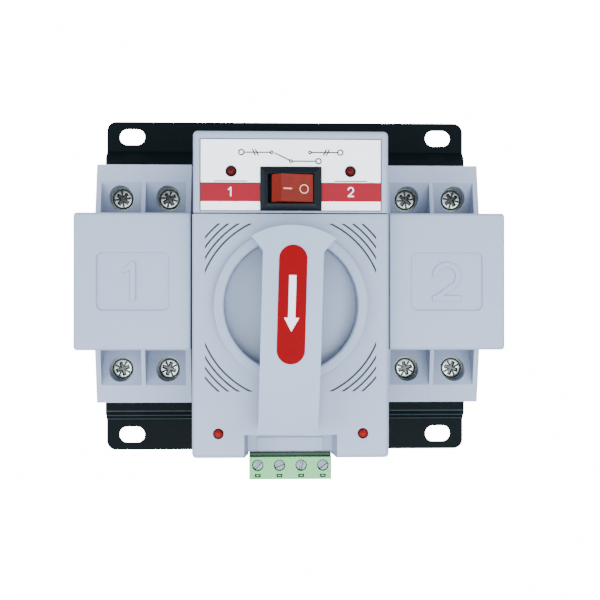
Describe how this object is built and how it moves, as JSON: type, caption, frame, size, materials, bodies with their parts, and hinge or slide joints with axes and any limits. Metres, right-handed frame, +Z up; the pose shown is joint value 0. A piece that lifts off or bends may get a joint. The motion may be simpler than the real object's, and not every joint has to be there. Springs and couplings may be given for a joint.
{
  "type": "transfer switch",
  "caption": "Plate-mounted changeover switch: breaker-type units either side of a drive housing with a turning handle, rocker switch, lamps and a pull-off terminal plug.",
  "frame": {"origin": "back plane of the backplate, centre of its four fixing slots", "axes": "+X to the right seen from the front, +Z up, the front faces -Y; the wall is at Y = 0"},
  "size_m": [0.1546, 0.1122, 0.142],
  "materials": {
    "grey_plastic": "fine moulded texture",
    "black_steel": "satin black powder coat",
    "zinc_steel": "zinc plated",
    "steel": "bright steel",
    "copper": "bare copper",
    "brass": "bare brass",
    "label_white": "printed film",
    "label_red": "printed film",
    "bezel_black": "moulded",
    "rocker_red": "translucent red",
    "lamp_red": "tinted lens",
    "green_plug": "moulded",
    "green_header": "moulded",
    "circuit_board": "solder mask",
    "black_parts": "moulded",
    "white_nylon": "natural nylon"
  },
  "bodies": {
    "frame": {"base_plate": "black_steel", "rear_screws": "zinc_steel", "housing_base": "grey_plastic", "front_cover": "grey_plastic", "control_cover": "grey_plastic", "front_label": "label_white", "rocker_body": "bezel_black", "rocker_tabs": "brass", "control_board": "circuit_board", "board_parts": "black_parts", "lamp_board": "circuit_board", "power_lamps": "lamp_red", "position_lamps": "lamp_red", "terminal_header": "green_header", "gear_plate": "steel", "gear_plate_posts": "steel", "gear_plate_screws": "zinc_steel", "idler_pin": "steel", "motor": "steel", "limit_switches": "black_parts", "shaft_bushing": "white_nylon", "left_inner_case": "grey_plastic", "left_partition": "grey_plastic", "left_outer_case": "grey_plastic", "left_terminal_screws": "zinc_steel", "left_cage_clamps": "zinc_steel", "left_fixed_contacts": "copper", "left_arc_chutes": "steel", "left_case_rivets": "steel", "left_cover": "grey_plastic", "right_inner_case": "grey_plastic", "right_partition": "grey_plastic", "right_outer_case": "grey_plastic", "right_terminal_screws": "zinc_steel", "right_cage_clamps": "zinc_steel", "right_fixed_contacts": "copper", "right_arc_chutes": "steel", "right_case_rivets": "steel", "right_cover": "grey_plastic"},
    "handle": {"handle": "grey_plastic", "handle_label": "label_red", "handle_screw": "zinc_steel", "drive_shaft": "steel", "rack_pinion": "steel", "output_gear": "white_nylon", "limit_cam": "black_parts"},
    "slider": {"drive_bar": "white_nylon"},
    "left_switch": {"left_toggle": "black_parts", "left_toggle_shaft": "steel", "left_contact_arms": "copper"},
    "right_switch": {"right_toggle": "black_parts", "right_toggle_shaft": "steel", "right_contact_arms": "copper"},
    "idler": {"idler_gear": "white_nylon"},
    "motor_rotor": {"motor_pinion": "steel"},
    "rocker": {"rocker_button": "rocker_red"},
    "plug": {"terminal_plug": "green_plug", "plug_clamps": "brass", "plug_screws": "zinc_steel"}
  },
  "joints": [
    {"name": "handle_turn", "type": "hinge", "parent": "frame", "child": "handle", "pos_m": [0, -0.1, -0.0083], "axis": [0, 1, 0], "range_deg": [-90, 90]},
    {"name": "bar_slide", "type": "slide", "parent": "frame", "child": "slider", "axis": [0, 0, 1], "range_m": [-0.0082, 0.0082]},
    {"name": "left_toggle_swing", "type": "hinge", "parent": "frame", "child": "left_switch", "pos_m": [-0.0555, -0.0595, 0], "axis": [1, 0, 0], "range_deg": [-33, 33]},
    {"name": "right_toggle_swing", "type": "hinge", "parent": "frame", "child": "right_switch", "pos_m": [0.0555, -0.0595, 0], "axis": [1, 0, 0], "range_deg": [-33, 33]},
    {"name": "idler_turn", "type": "hinge", "parent": "frame", "child": "idler", "pos_m": [-0.01416, -0.0445, -0.0301], "axis": [0, 1, 0], "range_deg": [-203, 203]},
    {"name": "motor_turn", "type": "hinge", "parent": "frame", "child": "motor_rotor", "pos_m": [-0.00436, -0.0445, -0.03833], "axis": [0, 1, 0], "range_deg": [-338, 338]},
    {"name": "rocker_tilt", "type": "hinge", "parent": "frame", "child": "rocker", "pos_m": [0, -0.0924, 0.0317], "axis": [0, 0, -1], "range_deg": [0, 33]},
    {"name": "plug_pull", "type": "slide", "parent": "frame", "child": "plug", "axis": [0, 0, -1], "range_m": [0, 0.012]}
  ],
  "couplings": [
    {"joint": "bar_slide", "follows": "handle_turn", "m_per_rad": -0.0052},
    {"joint": "left_toggle_swing", "follows": "handle_turn", "ratio": 0.36111},
    {"joint": "right_toggle_swing", "follows": "handle_turn", "ratio": 0.36111},
    {"joint": "idler_turn", "follows": "handle_turn", "ratio": -2.25},
    {"joint": "motor_turn", "follows": "handle_turn", "ratio": 3.75}
  ]
}
